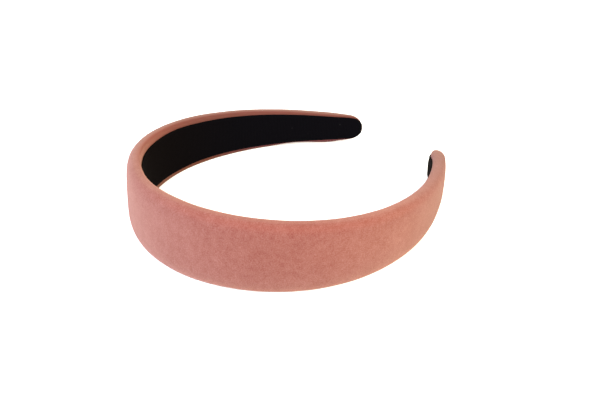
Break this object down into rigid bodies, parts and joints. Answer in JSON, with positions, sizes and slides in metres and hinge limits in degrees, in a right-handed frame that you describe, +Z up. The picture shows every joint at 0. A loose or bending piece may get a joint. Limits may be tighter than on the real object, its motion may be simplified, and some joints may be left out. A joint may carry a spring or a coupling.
{
  "type": "padded headband",
  "caption": "Wide C-shaped padded velvet headband that tapers to rounded ends, with a black ribbon lining on its inner face.",
  "frame": {"origin": "middle of the lying band's box at its base, on the surface that the lower edge rests on", "axes": "+Z up from the surface, +X from the middle of the crown to the open ends, +Y across the head"},
  "size_m": [0.156, 0.1418, 0.0328],
  "materials": {
    "velvet": "short dusty rose pile, matt with a soft sheen at grazing angles",
    "ribbon": "matt black ribbon"
  },
  "bodies": {
    "root": {"velvet_cover": "velvet", "ribbon_lining": "ribbon"}
  },
  "joints": []
}
